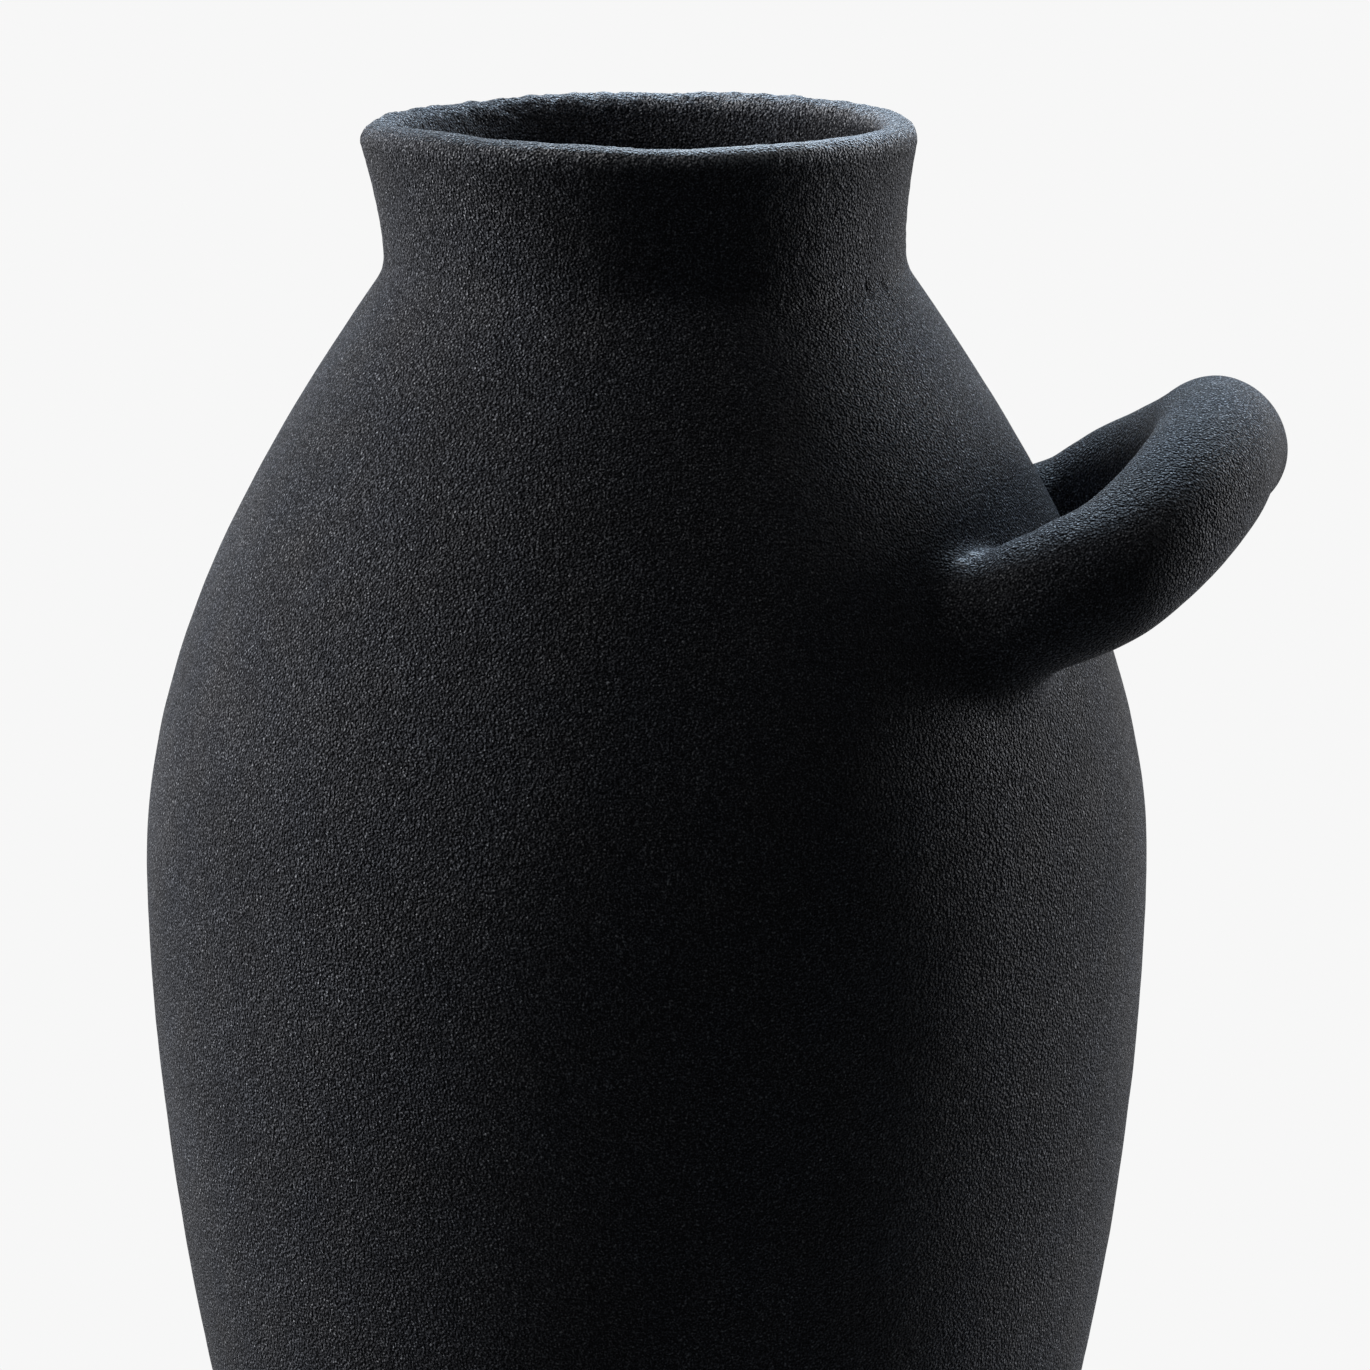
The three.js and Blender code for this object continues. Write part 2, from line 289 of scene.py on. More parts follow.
@dataclass(frozen=True)
class Finish:
    """Coarse fired clay: its colour changes from grain to grain, and its grains stand out of the surface.

    A point attribute makes the grains lighter where hands rub the clay, and paints highlights and glints on
    the lip, the handle and its luting coils.
    """

    name: str
    slot: Slot
    dark: str
    middle: str
    light: str
    quartz_and_glint: str
    grain: float
    relief: float
    relief_height: float
    roughness: float
    # Tones of the grain where each colour is pure; quartz, whose colour also paints glints, comes last, at
    # 1.
    dark_stop: float = 0.35
    middle_stop: float = 0.55
    light_stop: float = 0.77
    # Size of the paler patches, and how much patches and the rubbing and painted highlights add to the
    # tone.
    patch: float = 30 * MM
    patch_share: float = 0.1
    rub_and_highlight_share: float = 0.2
    # Size of the places that are a little cooler or warmer, and both casts.
    cast: float = 14 * MM
    cool: str = "#f2f6ff"
    warm: str = "#fffaf5"
    diffuse_roughness: float = 0.3
    gloss: float = 0.02

    def material(self) -> bpy.types.Material:
        """Gives the finish's material, which is made once."""
        return bpy.data.materials.get(self.name) or self.build()

    def build(self) -> bpy.types.Material:
        """Builds the node tree.

        Returns:
            The new material.
        """
        made = bpy.data.materials.new(self.name)
        tree = empty_tree(made)
        place = add_node(tree, "ShaderNodeTexCoord").outputs["Object"]

        def noise(size: float, detail: float = 0.0) -> bpy.types.NodeSocket:
            """Adds a soft noise whose lumps are about the given size."""
            inputs = {"Vector": place, "Scale": 1 / size, "Detail": detail}
            return add_node(tree, "ShaderNodeTexNoise", inputs).outputs["Fac"]

        # Rubbing, painted highlights and painted glints, which move the tone towards the lighter colours
        # and quartz.
        rub_and_highlight = add_node(tree, "ShaderNodeAttribute", attribute_name=RUB_AND_HIGHLIGHT).outputs["Fac"]
        patches = add_node(
            tree,
            "ShaderNodeMath",
            {0: noise(self.patch, detail=2), 1: self.patch_share, 2: noise(self.grain)},
            operation="MULTIPLY_ADD",
        ).outputs[0]
        tone = add_node(
            tree, "ShaderNodeMath", {0: rub_and_highlight, 1: self.rub_and_highlight_share, 2: patches}, operation="MULTIPLY_ADD"
        ).outputs[0]
        ramp = add_node(tree, "ShaderNodeValToRGB", {"Fac": tone})
        stops = ramp.color_ramp.elements
        stops[0].position = self.dark_stop
        stops[0].color = linear(self.dark)
        stops[1].color = linear(self.quartz_and_glint)
        stops.new(self.middle_stop).color = linear(self.middle)
        stops.new(self.light_stop).color = linear(self.light)
        cast = add_node(
            tree,
            "ShaderNodeMix",
            {"Factor": noise(self.cast, detail=1), "A": linear(self.cool), "B": linear(self.warm)},
            data_type="RGBA",
        ).outputs["Result"]
        colour = add_node(
            tree,
            "ShaderNodeMix",
            {"Factor": 1.0, "A": ramp.outputs["Color"], "B": cast},
            data_type="RGBA",
            blend_type="MULTIPLY",
        ).outputs["Result"]
        relief = add_node(
            tree,
            "ShaderNodeBump",
            {"Height": noise(self.relief), "Distance": self.relief_height, "Strength": 1.0},
        ).outputs["Normal"]
        shader = add_node(
            tree,
            "ShaderNodeBsdfPrincipled",
            {
                "Base Color": colour,
                "Roughness": self.roughness,
                "Diffuse Roughness": self.diffuse_roughness,
                "Specular IOR Level": self.gloss,
                "Normal": relief,
            },
        ).outputs["BSDF"]
        add_node(tree, "ShaderNodeOutputMaterial", {"Surface": shader})
        return made


# Black stoneware under a sanded slip: a dull charcoal with sharp little grains that catch the light.
SANDED_STONEWARE = Finish(
    "sanded_black_stoneware",
    Slot.SANDED,
    dark="#222326",
    middle="#3e3f43",
    light="#75777c",
    # The quartz colour is also the white of the painted glints on the handle's root.
    quartz_and_glint="#dfe2e6",
    grain=0.38 * MM,
    relief=0.5 * MM,
    relief_height=0.8 * MM,
    roughness=0.55,
)
# The same clay without slip, smoothed by wet fingers: darker, browner and with a low grain.
BARE_CLAY = Finish(
    "bare_black_clay",
    Slot.BARE,
    dark="#221f1e",
    middle="#312e2c",
    light="#4a4643",
    quartz_and_glint="#8a8580",
    grain=0.6 * MM,
    relief=0.9 * MM,
    relief_height=0.15 * MM,
    roughness=0.6,
)


def finish_piece(made: bpy.types.Object, node: str, finish: Finish) -> None:
    """Smooths a piece, gives it its finish and sets it in the frame.

    Args:
        made: the finished mesh.
        node: CAD node that it stands for.
        finish: material and slot.
    """
    activate(made)
    bpy.ops.object.shade_smooth_by_angle(angle=SMOOTH_ANGLE)
    made.vertex_groups.clear()
    made.data.materials.clear()
    made.data.materials.append(finish.material())
    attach(made, ROOT_BODY)
    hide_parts(node)
    triangles = sum(len(p.vertices) - 2 for p in made.data.polygons)
    LOG.info("%s stands for %s with %d triangles", made.name, node, triangles)


@dataclass(frozen=True)
class Station:
    """A height on the outer profile, with the radius there and the radius gained per height."""

    height: float
    radius: float
    slope: float


@dataclass(frozen=True)
class VesselProfile:
    """Outer profile of the vessel, as a cubic between stations, with its wall and the top of its floor."""

    foot_radius: float = 70 * MM
    foot_taper: float = 0.255
    belly_radius: float = CAD_BOX[1].y + BELLY_PROUD
    belly_height: float = 182.5 * MM
    shoulder_radius: float = 53.6 * MM
    shoulder_height: float = 298.3 * MM
    shoulder_slope: float = -0.7
    crease_radius: float = 51.8 * MM
    crease_height: float = 303.5 * MM
    lip_radius: float = 55 * MM
    lip_height: float = 326 * MM
    lip_flare: float = 0.235
    rim_height: float = CAD_BOX[1].z
    wall: float = 8 * MM
    floor: float = 12 * MM

    def around(self, z: float) -> tuple[Station, Station, float, float]:
        """Gives the stations below and above a height, the height between them and the share of it."""
        stations = (
            Station(0, self.foot_radius, self.foot_taper),
            Station(self.belly_height, self.belly_radius, 0),
            Station(self.shoulder_height, self.shoulder_radius, self.shoulder_slope),
            Station(self.crease_height, self.crease_radius, 0),
            Station(self.lip_height, self.lip_radius, self.lip_flare),
        )
        above = next((i for i, s in enumerate(stations) if i and s.height >= z), len(stations) - 1)
        low, high = stations[above - 1], stations[above]
        span = high.height - low.height
        return low, high, span, (z - low.height) / span

    def outer(self, z: float) -> float:
        """Outer radius at a height."""
        low, high, span, s = self.around(z)
        rise = s * s * (3 - 2 * s)
        leave = low.slope * s * (1 - s) ** 2 * span
        arrive = high.slope * s * s * (s - 1) * span
        return low.radius * (1 - rise) + high.radius * rise + leave + arrive

    def slope(self, z: float) -> float:
        """Radius gained per height."""
        low, high, span, s = self.around(z)
        rise = 6 * s * (1 - s) * (high.radius - low.radius) / span
        return rise + low.slope * (1 - s) * (1 - 3 * s) + high.slope * s * (3 * s - 2)

    def inside(self, z: float, depth: float) -> float:
        """Radius at a depth square to the outer face."""
        return self.outer(z) - depth * math.hypot(1, self.slope(z))

    def inner(self, z: float) -> float:
        """Inner radius at a height."""
        return self.inside(z, self.wall)

    def lip_middle(self) -> float:
        """Radius of the middle of the wall under the lip."""
        return (self.outer(self.lip_height) + self.inner(self.lip_height)) / 2

    def normal(self, point: Vector) -> Vector:
        """Direction out of the outer face at a point on it."""
        flat = Vector((point.x, point.y, 0)).normalized()
        return Vector((flat.x, flat.y, -self.slope(point.z))).normalized()


def face(radius_at: Callable[[float], float], start: float, end: float, row: float) -> list[Vector]:
    """Points of an outline after its start, in rows no higher than the one given."""
    steps = math.ceil(abs(end - start) / row)
    heights = [start + (end - start) * (i + 1) / steps for i in range(steps)]
    return [Vector((radius_at(z), 0, z)) for z in heights]


def arc(
    middle: Vector, reach: float, rise: float, start: float, end: float, steps: int, square: float = 2
) -> list[Vector]:
    """Points of an arc in an outline after its start.

    Args:
        middle: middle of the arc.
        reach: half its width.
        rise: half its height.
        start: first angle.
        end: last angle.
        steps: count of points.
        square: power of the arc, which is 2 for an ellipse and more for a squarer one.

    Returns:
        The points.
    """

    def bent(value: float) -> float:
        """Moves a sine or cosine out towards the corner."""
        return math.copysign(abs(value) ** (2 / square), value)

    angles = [start + (end - start) * (i + 1) / steps for i in range(steps)]
    return [middle + Vector((reach * bent(math.cos(a)), 0, rise * bent(math.sin(a)))) for a in angles]


@dataclass(frozen=True)
class Stretch:
    """A stretch of the lip that a hand changed, also used where the lip's rubbing and painted highlight are
    stronger or weaker.

    The bearing of its middle and half its width are in degrees.
    """

    bearing: float
    half: float
    amount: float

    def at(self, point: Vector) -> float:
        """Amount at a point's bearing: full over the middle third, nothing past the ends."""
        apart = math.degrees(math.atan2(point.y, point.x)) - self.bearing
        return self.amount * ease(self.half, self.half / 3, abs((apart + 180) % 360 - 180))


@dataclass(frozen=True)
class Furrow:
    """A short scratch that grit left in the soft clay, between two points on the surface."""

    start: Vector
    end: Vector
    half_width: float = 0.5 * MM
    depth: float = 0.44 * MM

    def at(self, point: Vector) -> float:
        """Depth at a point."""
        along = self.end - self.start
        share = min(max((point - self.start).dot(along) / along.length_squared, 0.0), 1.0)
        off = (point - self.start - along * share).length / self.half_width
        return self.depth * math.exp(-off * off)


@dataclass
class Vessel:
    """Floor, walls and collar: one spun shell that is pressed uneven, then cut at its clay joints."""

    profile: VesselProfile
    finish: Finish
    ledge: float = 7 * MM
    foot_round: float = 3 * MM
    foot_steps: int = 8
    # Height over the ledge by which the wall passes from an even foot into hand-pressed clay.
    even_foot: float = 12 * MM
    # The belly seam, with the height and half the width of the low ridge over it.
    seam: float = 212 * MM
    seam_ridge: float = 0.08 * MM
    seam_half: float = 3 * MM
    # How far the collar leans at its rim, and how far its mouth lies off its middle.
    lean: float = -1.6 * MM
    mouth_shift: float = 1.2 * MM
    furrows: Sequence[Furrow] = (
        Furrow(Vector((44.7, -25.8, 301.9)) * MM, Vector((45.7, -26.8, 298.9)) * MM),
        Furrow(Vector((47.7, -20.1, 301.4)) * MM, Vector((49.5, -21.2, 297.6)) * MM),
    )
    # Faces round the vessel, and the height of the rows of faces on its parts.
    steps_around: int = 600
    lower_row: float = 2 * MM
    upper_row: float = 1.1 * MM
    collar_row: float = 0.5 * MM
    inner_row: float = 5 * MM
    mouth_row: float = 1 * MM
    # Points over the lip, and how square it is.
    lip_steps: int = 40
    lip_square: float = 2.7
    # How far the lip reaches below and above its height, and how much higher its rubbed part with its
    # painted highlight begins.
    lip_below: float = 3 * MM
    lip_above: float = 2 * MM
    rub_and_highlight_above: float = 2 * MM
    # Shares of the collar's height where the rises and the bevel begin and the mouth has its full shift.
    rise_from: float = 0.3
    bevel_from: float = 0.65
    shift_to: float = 0.5
    # Shares of the wall's thickness, from its outside, between which the bevel and the shift set in.
    inner_from: float = 0.2
    inner_to: float = 0.8
    # Where the lip is round instead of square, outside and inside, and where its inside is bevelled.
    round_outside: Stretch = Stretch(213, 55, 1.0)
    round_inside: Stretch = Stretch(130, 110, 1.0)
    bevel_inside: Stretch = Stretch(140, 100, 2.0 * MM)
    # Where the lip stands higher or lower.
    lip_rises: Sequence[Stretch] = (
        Stretch(238, 48, 0.9 * MM),
        Stretch(216, 24, 0.4 * MM),
        Stretch(158, 50, -0.7 * MM),
        Stretch(45, 50, 0.5 * MM),
        Stretch(318, 40, 0.3 * MM),
    )
    # Where the rim was left rough, and how rough the rest of it is.
    rough_rim: Stretch = Stretch(115, 130, 1.0)
    near_roughness: float = 0.2
    # Height under the neck from which the collar's grit sets in.
    collar_blend: float = 4 * MM
    uneven: Sequence[Pressing] = (
        Pressing("hand_waves", 45 * MM, 0, 0.7 * MM, Zone.CLAY),
        Pressing("finger_marks", 9 * MM, 1, 0.22 * MM, Zone.CLAY),
        Pressing("collar_grit", 2 * MM, 1, 0.3 * MM, Zone.COLLAR),
        Pressing("rim_lumps", 5 * MM, 1, 1.2 * MM, Zone.RIM),
        Pressing("rim_grit", 1.5 * MM, 1, 0.7 * MM, Zone.RIM),
    )
    # How far the lip is rubbed and lit with a painted highlight, and where more or less.
    lip_rub_and_highlight: float = 1.4
    lip_rub_and_highlight_changes: Sequence[Stretch] = (
        Stretch(213, 55, -0.9),
        Stretch(303, 36, 0.85),
        Stretch(92, 42, 0.3),
        Stretch(142, 36, -0.6),
    )

    def outline(self) -> list[Vector]:
        """Draws half the section, from the middle of the underside over the lip to the inner wall's foot.

        Returns:
            Points of the outline in order.
        """
        shape = self.profile
        round_middle = Vector((shape.foot_radius - self.foot_round, 0, self.foot_round))
        round_reach = shape.outer(self.foot_round) - round_middle.x
        lip_middle = Vector((shape.lip_middle(), 0, shape.lip_height))
        lip_reach = shape.outer(shape.lip_height) - lip_middle.x
        crown = shape.rim_height - shape.lip_height
        return [
            Vector((0, 0, 0)),
            Vector((round_middle.x / 2, 0, 0)),
            Vector((round_middle.x, 0, 0)),
            *arc(round_middle, round_reach, self.foot_round, -math.pi / 2, 0, self.foot_steps),
            *face(shape.outer, self.foot_round, self.seam, self.lower_row),
            *face(shape.outer, self.seam, shape.shoulder_height, self.upper_row),
            *face(shape.outer, shape.shoulder_height, shape.lip_height, self.collar_row),
            *arc(lip_middle, lip_reach, crown, 0, math.pi, self.lip_steps, self.lip_square),
            *face(shape.inner, shape.lip_height, shape.shoulder_height, self.mouth_row),
            *face(shape.inner, shape.shoulder_height, self.seam, self.inner_row),
            *face(shape.inner, self.seam, self.ledge, self.inner_row),
        ]

    def shape_collar(self, shell: bpy.types.Object) -> None:
        """Leans the collar, moves its mouth, and rounds, bevels and raises stretches of its lip."""
        shape = self.profile
        crown = shape.rim_height - shape.lip_height
        middle = shape.lip_middle()
        reach = shape.outer(shape.lip_height) - middle
        for vertex in shell.data.vertices:
            place = vertex.co.copy()
            share = (place.z - shape.shoulder_height) / (shape.rim_height - shape.shoulder_height)
            if share <= 0:
                continue
            radius = math.hypot(place.x, place.y)
            if place.z > shape.lip_height:
                across = (radius - middle) / reach
                soft = self.round_outside if across > 0 else self.round_inside
                round_rise = crown * math.sqrt(max(1 - across * across, 0))
                vertex.co.z += (shape.lip_height + round_rise - place.z) * soft.at(place)
            vertex.co.z += sum(rise.at(place) for rise in self.lip_rises) * ease(self.rise_from, 1, share)
            depth = shape.outer(place.z) - radius
            inward = ease(self.inner_from * shape.wall, self.inner_to * shape.wall, depth)
            bevel = self.bevel_inside.at(place) * inward * ease(self.bevel_from, 1, share) / radius
            shift = self.mouth_shift * inward * ease(0, self.shift_to, share)
            vertex.co.x += place.x * bevel + self.lean * share + shift
            vertex.co.y += place.y * bevel

    def mark_outside(self, shell: bpy.types.Object) -> None:
        """Raises the low ridge over the belly seam and draws the furrows at the neck."""
        shape = self.profile
        for vertex in shell.data.vertices:
            place = vertex.co
            if shape.outer(place.z) - math.hypot(place.x, place.y) < shape.wall / 2:
                rise = self.seam_ridge * math.exp(-(((place.z - self.seam) / self.seam_half) ** 2))
                if place.z > shape.shoulder_height - shape.wall:
                    rise -= sum(furrow.at(place) for furrow in self.furrows)
                vertex.co += shape.normal(place) * rise

    def lip_share(self, point: Vector) -> float:
        """Share of the lip at a point: 0 on the collar and 1 on the lip's top."""
        height = self.profile.lip_height
        return ease(height - self.lip_below, height + self.lip_above, point.z)

    def lip_wear_and_highlight(self, vertex: bpy.types.MeshVertex) -> float:
        """How far the lip is rubbed and lit with a painted highlight at a vertex."""
        changes = sum(change.at(vertex.co) for change in self.lip_rub_and_highlight_changes)
        return self.lip_share(vertex.co - UP * self.rub_and_highlight_above) * (self.lip_rub_and_highlight + changes)

    def shell(self) -> bpy.types.Object:
        """Spins the whole vessel and presses its surface uneven, as hands leave it.

        Returns:
            The uncut shell.
        """
        made = spun("vessel_shell", self.outline(), self.steps_around, closed=False)
        self.shape_collar(made)
        self.mark_outside(made)
        shape = self.profile
        collar_from = shape.shoulder_height - self.collar_blend
        weigh(made, Zone.CLAY, lambda p: ease(self.ledge, self.ledge + self.even_foot, p.z))
        weigh(made, Zone.COLLAR, lambda p: ease(collar_from, shape.crease_height, p.z))
        weigh(made, Zone.RIM, lambda p: self.lip_share(p) * max(self.rough_rim.at(p), self.near_roughness))
        for pressing in self.uneven:
            pressing.press(made)
        # Rubbing and a painted highlight along the lip.
        write_rub_and_highlight(made, self.lip_wear_and_highlight)
        return made

    def copy_part(self, shell: bpy.types.Object, name: str) -> bpy.types.Object:
        """Copies the shell with its own mesh, and opens it in edit mode with all selected."""
        made = shell.copy()
        made.data = shell.data.copy()
        made.name = name
        made.data.name = name
        bpy.context.collection.objects.link(made)
        activate(made)
        bpy.ops.object.mode_set(mode="EDIT")
        bpy.ops.mesh.select_all(action="SELECT")
        return made

    def select_open_edges(self, made: bpy.types.Object, height: float) -> None:
        """Selects the open edges at a height."""
        bpy.ops.mesh.select_all(action="DESELECT")
        bpy.ops.mesh.select_mode(type="EDGE")
        mesh = bmesh.from_edit_mesh(made.data)
        for edge in mesh.edges:
            on_level = all(abs(v.co.z - height) < ON_LEVEL for v in edge.verts)
            edge.select_set(edge.is_boundary and on_level)
        bmesh.update_edit_mesh(made.data)

    def ring(self, shell: bpy.types.Object, name: str, low: float, high: float) -> bpy.types.Object:
        """Cuts the shell between two heights and closes the clay joints.

        Args:
            shell: the uncut shell.
            name: name of the piece.
            low: height of the lower joint.
            high: height of the upper joint, or a height over the rim.

        Returns:
            The piece.
        """
        made = self.copy_part(shell, name)
        bpy.ops.mesh.bisect(plane_co=(0, 0, low), plane_no=UP, clear_inner=True, threshold=MERGE)
        bpy.ops.mesh.select_all(action="SELECT")
        bpy.ops.mesh.bisect(plane_co=(0, 0, high), plane_no=UP, clear_outer=True, threshold=MERGE)
        for height in (low, high):
            if height < self.profile.rim_height:
                self.select_open_edges(made, height)
                bpy.ops.mesh.bridge_edge_loops()
        close_mesh()
        return made

    def slab(self, shell: bpy.types.Object, name: str) -> bpy.types.Object:
        """Cuts the foot off the shell, closes it and raises the floor inside the ledge for the wall.

        Args:
            shell: the uncut shell.
            name: name of the piece.

        Returns:
            The piece.
        """
        shape = self.profile
        made = self.copy_part(shell, name)
        bpy.ops.mesh.bisect(plane_co=(0, 0, self.ledge), plane_no=UP, clear_outer=True, threshold=MERGE)
        self.select_open_edges(made, self.ledge)
        bpy.ops.mesh.edge_face_add()
        bpy.ops.mesh.inset(thickness=shape.outer(self.ledge) - shape.inner(self.ledge))
        bpy.ops.mesh.extrude_region_move(TRANSFORM_OT_translate={"value": UP * (shape.floor - self.ledge)})
        close_mesh()
        return made

    def build(self) -> None:
        """Makes the slab, both walls and the collar, and removes the uncut shell."""
        shell = self.shell()
        joint = self.profile.shoulder_height
        over_rim = 2 * self.profile.rim_height
        finish_piece(self.slab(shell, "base_slab"), "base_disc", self.finish)
        finish_piece(self.ring(shell, "lower_wall", self.ledge, self.seam), "lower_body", self.finish)
        finish_piece(self.ring(shell, "upper_wall", self.seam, joint), "upper_body", self.finish)
        finish_piece(self.ring(shell, "flared_collar", joint, over_rim), "neck_collar", self.finish)
        bpy.data.objects.remove(shell)


@dataclass
class SeamCoils:
    """Coils of soft clay worked into the seams inside the vessel."""

    profile: VesselProfile
    finish: Finish
    corner: float = 9 * MM
    # Middle of the band, where the frame's seam comes out on the inside, half its height and its depth.
    seam: float = 209.15 * MM
    band_half: float = 8 * MM
    band_depth: float = 2.5 * MM
    # How far both coils reach into the clay behind them.
    edge: float = 0.4 * MM
    hollow_steps: int = 16
    back_row: float = 2 * MM
    band_row: float = 1 * MM
    steps_around: int = 240
    marks: Pressing = Pressing("coil_marks", 14 * MM, 1, 0.8 * MM)

    def corner_outline(self) -> list[Vector]:
        """Section of the coil in the corner between the floor and the wall, with a hollow face."""
        shape = self.profile
        top = shape.floor + self.corner
        high = Vector((shape.inner(top), 0, top))
        heel = Vector((shape.inner(shape.floor), 0, shape.floor))
        toe = Vector((shape.inner(shape.floor) - self.corner, 0, shape.floor))
        return [
            heel + Vector((self.edge, 0, -self.edge)),
            high + Vector((self.edge, 0, 0)),
            *hollow(high, heel, toe, self.hollow_steps),
            toe - Vector((0, 0, self.edge)),
        ]

    def band_outline(self) -> list[Vector]:
        """Section of the low band over the inside of the belly seam."""
        shape = self.profile
        low, high = self.seam - self.band_half, self.seam + self.band_half

        def band_face(z: float) -> float:
            """Inner radius of the band."""
            crown = math.cos(math.pi / 2 * (z - self.seam) / self.band_half) ** 2
            return shape.inner(z) - self.band_depth * crown

        def back(z: float) -> float:
            """Radius of the band's back, a little inside the clay of the wall."""
            return shape.inner(z) + self.edge

        return [
            Vector((back(low), 0, low)),
            *face(back, low, high, self.back_row),
            Vector((band_face(high), 0, high)),
            *face(band_face, high, low, self.band_row),
        ]

    def build(self) -> None:
        """Spins both coils and presses finger marks into them."""
        for name, node, outline in (
            ("corner_coil", "base_seam_coil", self.corner_outline()),
            ("belly_band", "belly_seam_coil", self.band_outline()),
        ):
            made = spun(name, outline, self.steps_around, closed=True)
            self.marks.press(made)
            finish_piece(made, node, self.finish)


@dataclass(frozen=True)
class HandMark:
    """A place where a hand left the coil thicker or thinner.

    The angle and the width along the coil and the turn round it are in degrees.
    """

    angle: float
    width: float
    turn: float
    height: float

    def rise(self, angle: float, turn: float) -> float:
        """How far it raises the surface at two angles in radians."""
        along = math.exp(-(((math.degrees(angle) - self.angle) / self.width) ** 2))
        round_coil = max(math.cos(turn - math.radians(self.turn)), 0)
        return self.height * along * round_coil**2


@dataclass
class LoopHandle:
    """A rolled coil, an ellipse in plan that rises to the middle of its loop, and its luting coils."""

    profile: VesselProfile
    finish: Finish
    # Height and half the span of the roots, depth of the ellipse's middle in the wall, how far the loop
    # stands off the wall, and how far and with how much of a bend it rises.
    height: float = 244 * MM
    half_span: float = 51 * MM
    inset: float = 2.5 * MM
    standoff: float = 27.95 * MM
    lift: float = 21.8 * MM
    lift_bend: float = 0.5
    # Radius of the coil, and the angle along the ellipse to which it is rolled on both sides.
    coil: float = 13.3 * MM
    sweep: float = math.radians(130)
    # Length of a luting coil along the handle and over the wall, the shares of it that the top and the foot
    # have, and how far round the coil the top's share is turned.
    lute_along: float = 9 * MM
    lute_across: float = 9 * MM
    lute_top: float = 0.4
    lute_foot: float = 1.2
    lute_turn: float = math.radians(40)
    # How deep the hollow's edges, the ends behind them and the heel of a luting coil lie in the clay.
    edge_depth: float = 0.05 * MM
    end_depth: float = 0.9 * MM
    heel_depth: float = 1.2 * MM
    marks: Sequence[HandMark] = (
        HandMark(92, 9, 90, -1.0 * MM),
        HandMark(65, 12, 90, 0.7 * MM),
        HandMark(30, 12, 90, -0.4 * MM),
        HandMark(11, 8, 90, 0.3 * MM),
        HandMark(7, 5, -34, 1.05 * MM),
        HandMark(-11.5, 10, -30, -0.65 * MM),
        HandMark(-47, 12, -64, 0.35 * MM),
        HandMark(-70, 13, -80, 0.65 * MM),
        HandMark(-80, 12, 90, 0.7 * MM),
    )
    # Each crumb's turn round the coil in degrees, and its share of the way from the coil to the wall; a
    # crumb is a small lump with a painted glint on it.
    crumbs: Sequence[tuple[float, float]] = ((56, 0.53), (69, 0.39))
    crumb: float = 0.9 * MM
    crumb_rise: float = 0.45 * MM
    crumb_glint: float = 5.0
    # Painted highlight on the coil's upper side: how much, the upward facings between which it sets in, and
    # how far back from the front it goes.
    coil_highlight_amount: float = 0.42
    coil_highlight_facing: tuple[float, float] = (0.1, 0.8)
    coil_highlight_reach: float = 25 * MM
    # Painted highlight on a luting coil: how much, the upward facings between which it sets in, the
    # distance off the wall where it is full, and the share of the coil's length from which it fades.
    lute_highlight_amount: float = 0.9
    lute_highlight_facing: tuple[float, float] = (0.2, 0.9)
    lute_highlight_off: float = 2.5 * MM
    lute_highlight_fade: float = 0.4
    uneven: Sequence[Pressing] = (
        Pressing("rolled_waves", 28 * MM, 0, 0.5 * MM),
        Pressing("rolled_marks", 7 * MM, 1, 0.2 * MM),
    )
    coil_sides: int = 150
    coil_rows: int = 420
    lute_steps: int = 150
    hollow_steps: int = 27
    # Steps along the path that give its direction and its pace, and halvings that find a root.
    path_step: float = math.radians(0.1)
    pace_step: float = 0.01
    halvings: int = 30
    # The former that trims the coil's ends: its reach below the handle, its rows and its faces round.
    former_drop: float = 60 * MM
    former_row: float = 3 * MM
    former_steps: int = 120

    def centre(self, angle: float) -> Vector:
        """Middle of the coil at an angle of the ellipse, which is 0 at the far end of the loop."""
        out = math.cos(angle)
        middle = self.profile.outer(self.height) - self.inset
        rise = self.lift * out * (1 + (abs(out) - 1) * self.lift_bend)
        return Vector(
            (
                middle + (self.inset + self.standoff) * out,
                self.half_span * math.sin(angle),
                self.height + rise,
            )
        )

    def surface(self, angle: float, turn: float) -> tuple[Vector, Vector]:
        """Finds a place on the coil.

        Args:
            angle: angle along the ellipse.
            turn: angle round the coil.

        Returns:
            The point and the direction out of the coil there.
        """
        along = (self.centre(angle + self.path_step) - self.centre(angle - self.path_step)).normalized()
        side = along.cross(UP).normalized()
        out = side * math.cos(turn) + side.cross(along) * math.sin(turn)
        reach = self.coil + sum(mark.rise(angle, turn) for mark in self.marks)
        return self.centre(angle) + out * reach, out

    def former(self) -> bpy.types.Object:
        """Makes a solid of the vessel as far out as the middle of the wall, which trims the coil's ends."""
        shape = self.profile
        low, high = self.height - self.former_drop, shape.shoulder_height
        outline = [
            Vector((0, 0, low)),
            Vector((shape.inside(low, shape.wall / 2), 0, low)),
            *face(lambda z: shape.inside(z, shape.wall / 2), low, high, self.former_row),
            Vector((0, 0, high)),
        ]
        return spun("former", outline, self.former_steps, closed=False)

    def coil_painted_highlight(self, vertex: bpy.types.MeshVertex) -> float:
        """Painted highlight on the coil at a vertex: most where it faces up and towards the front of the
        loop.
        """
        facing = ease(*self.coil_highlight_facing, vertex.normal.z)
        return self.coil_highlight_amount * facing * ease(self.coil_highlight_reach, 0, vertex.co.y)

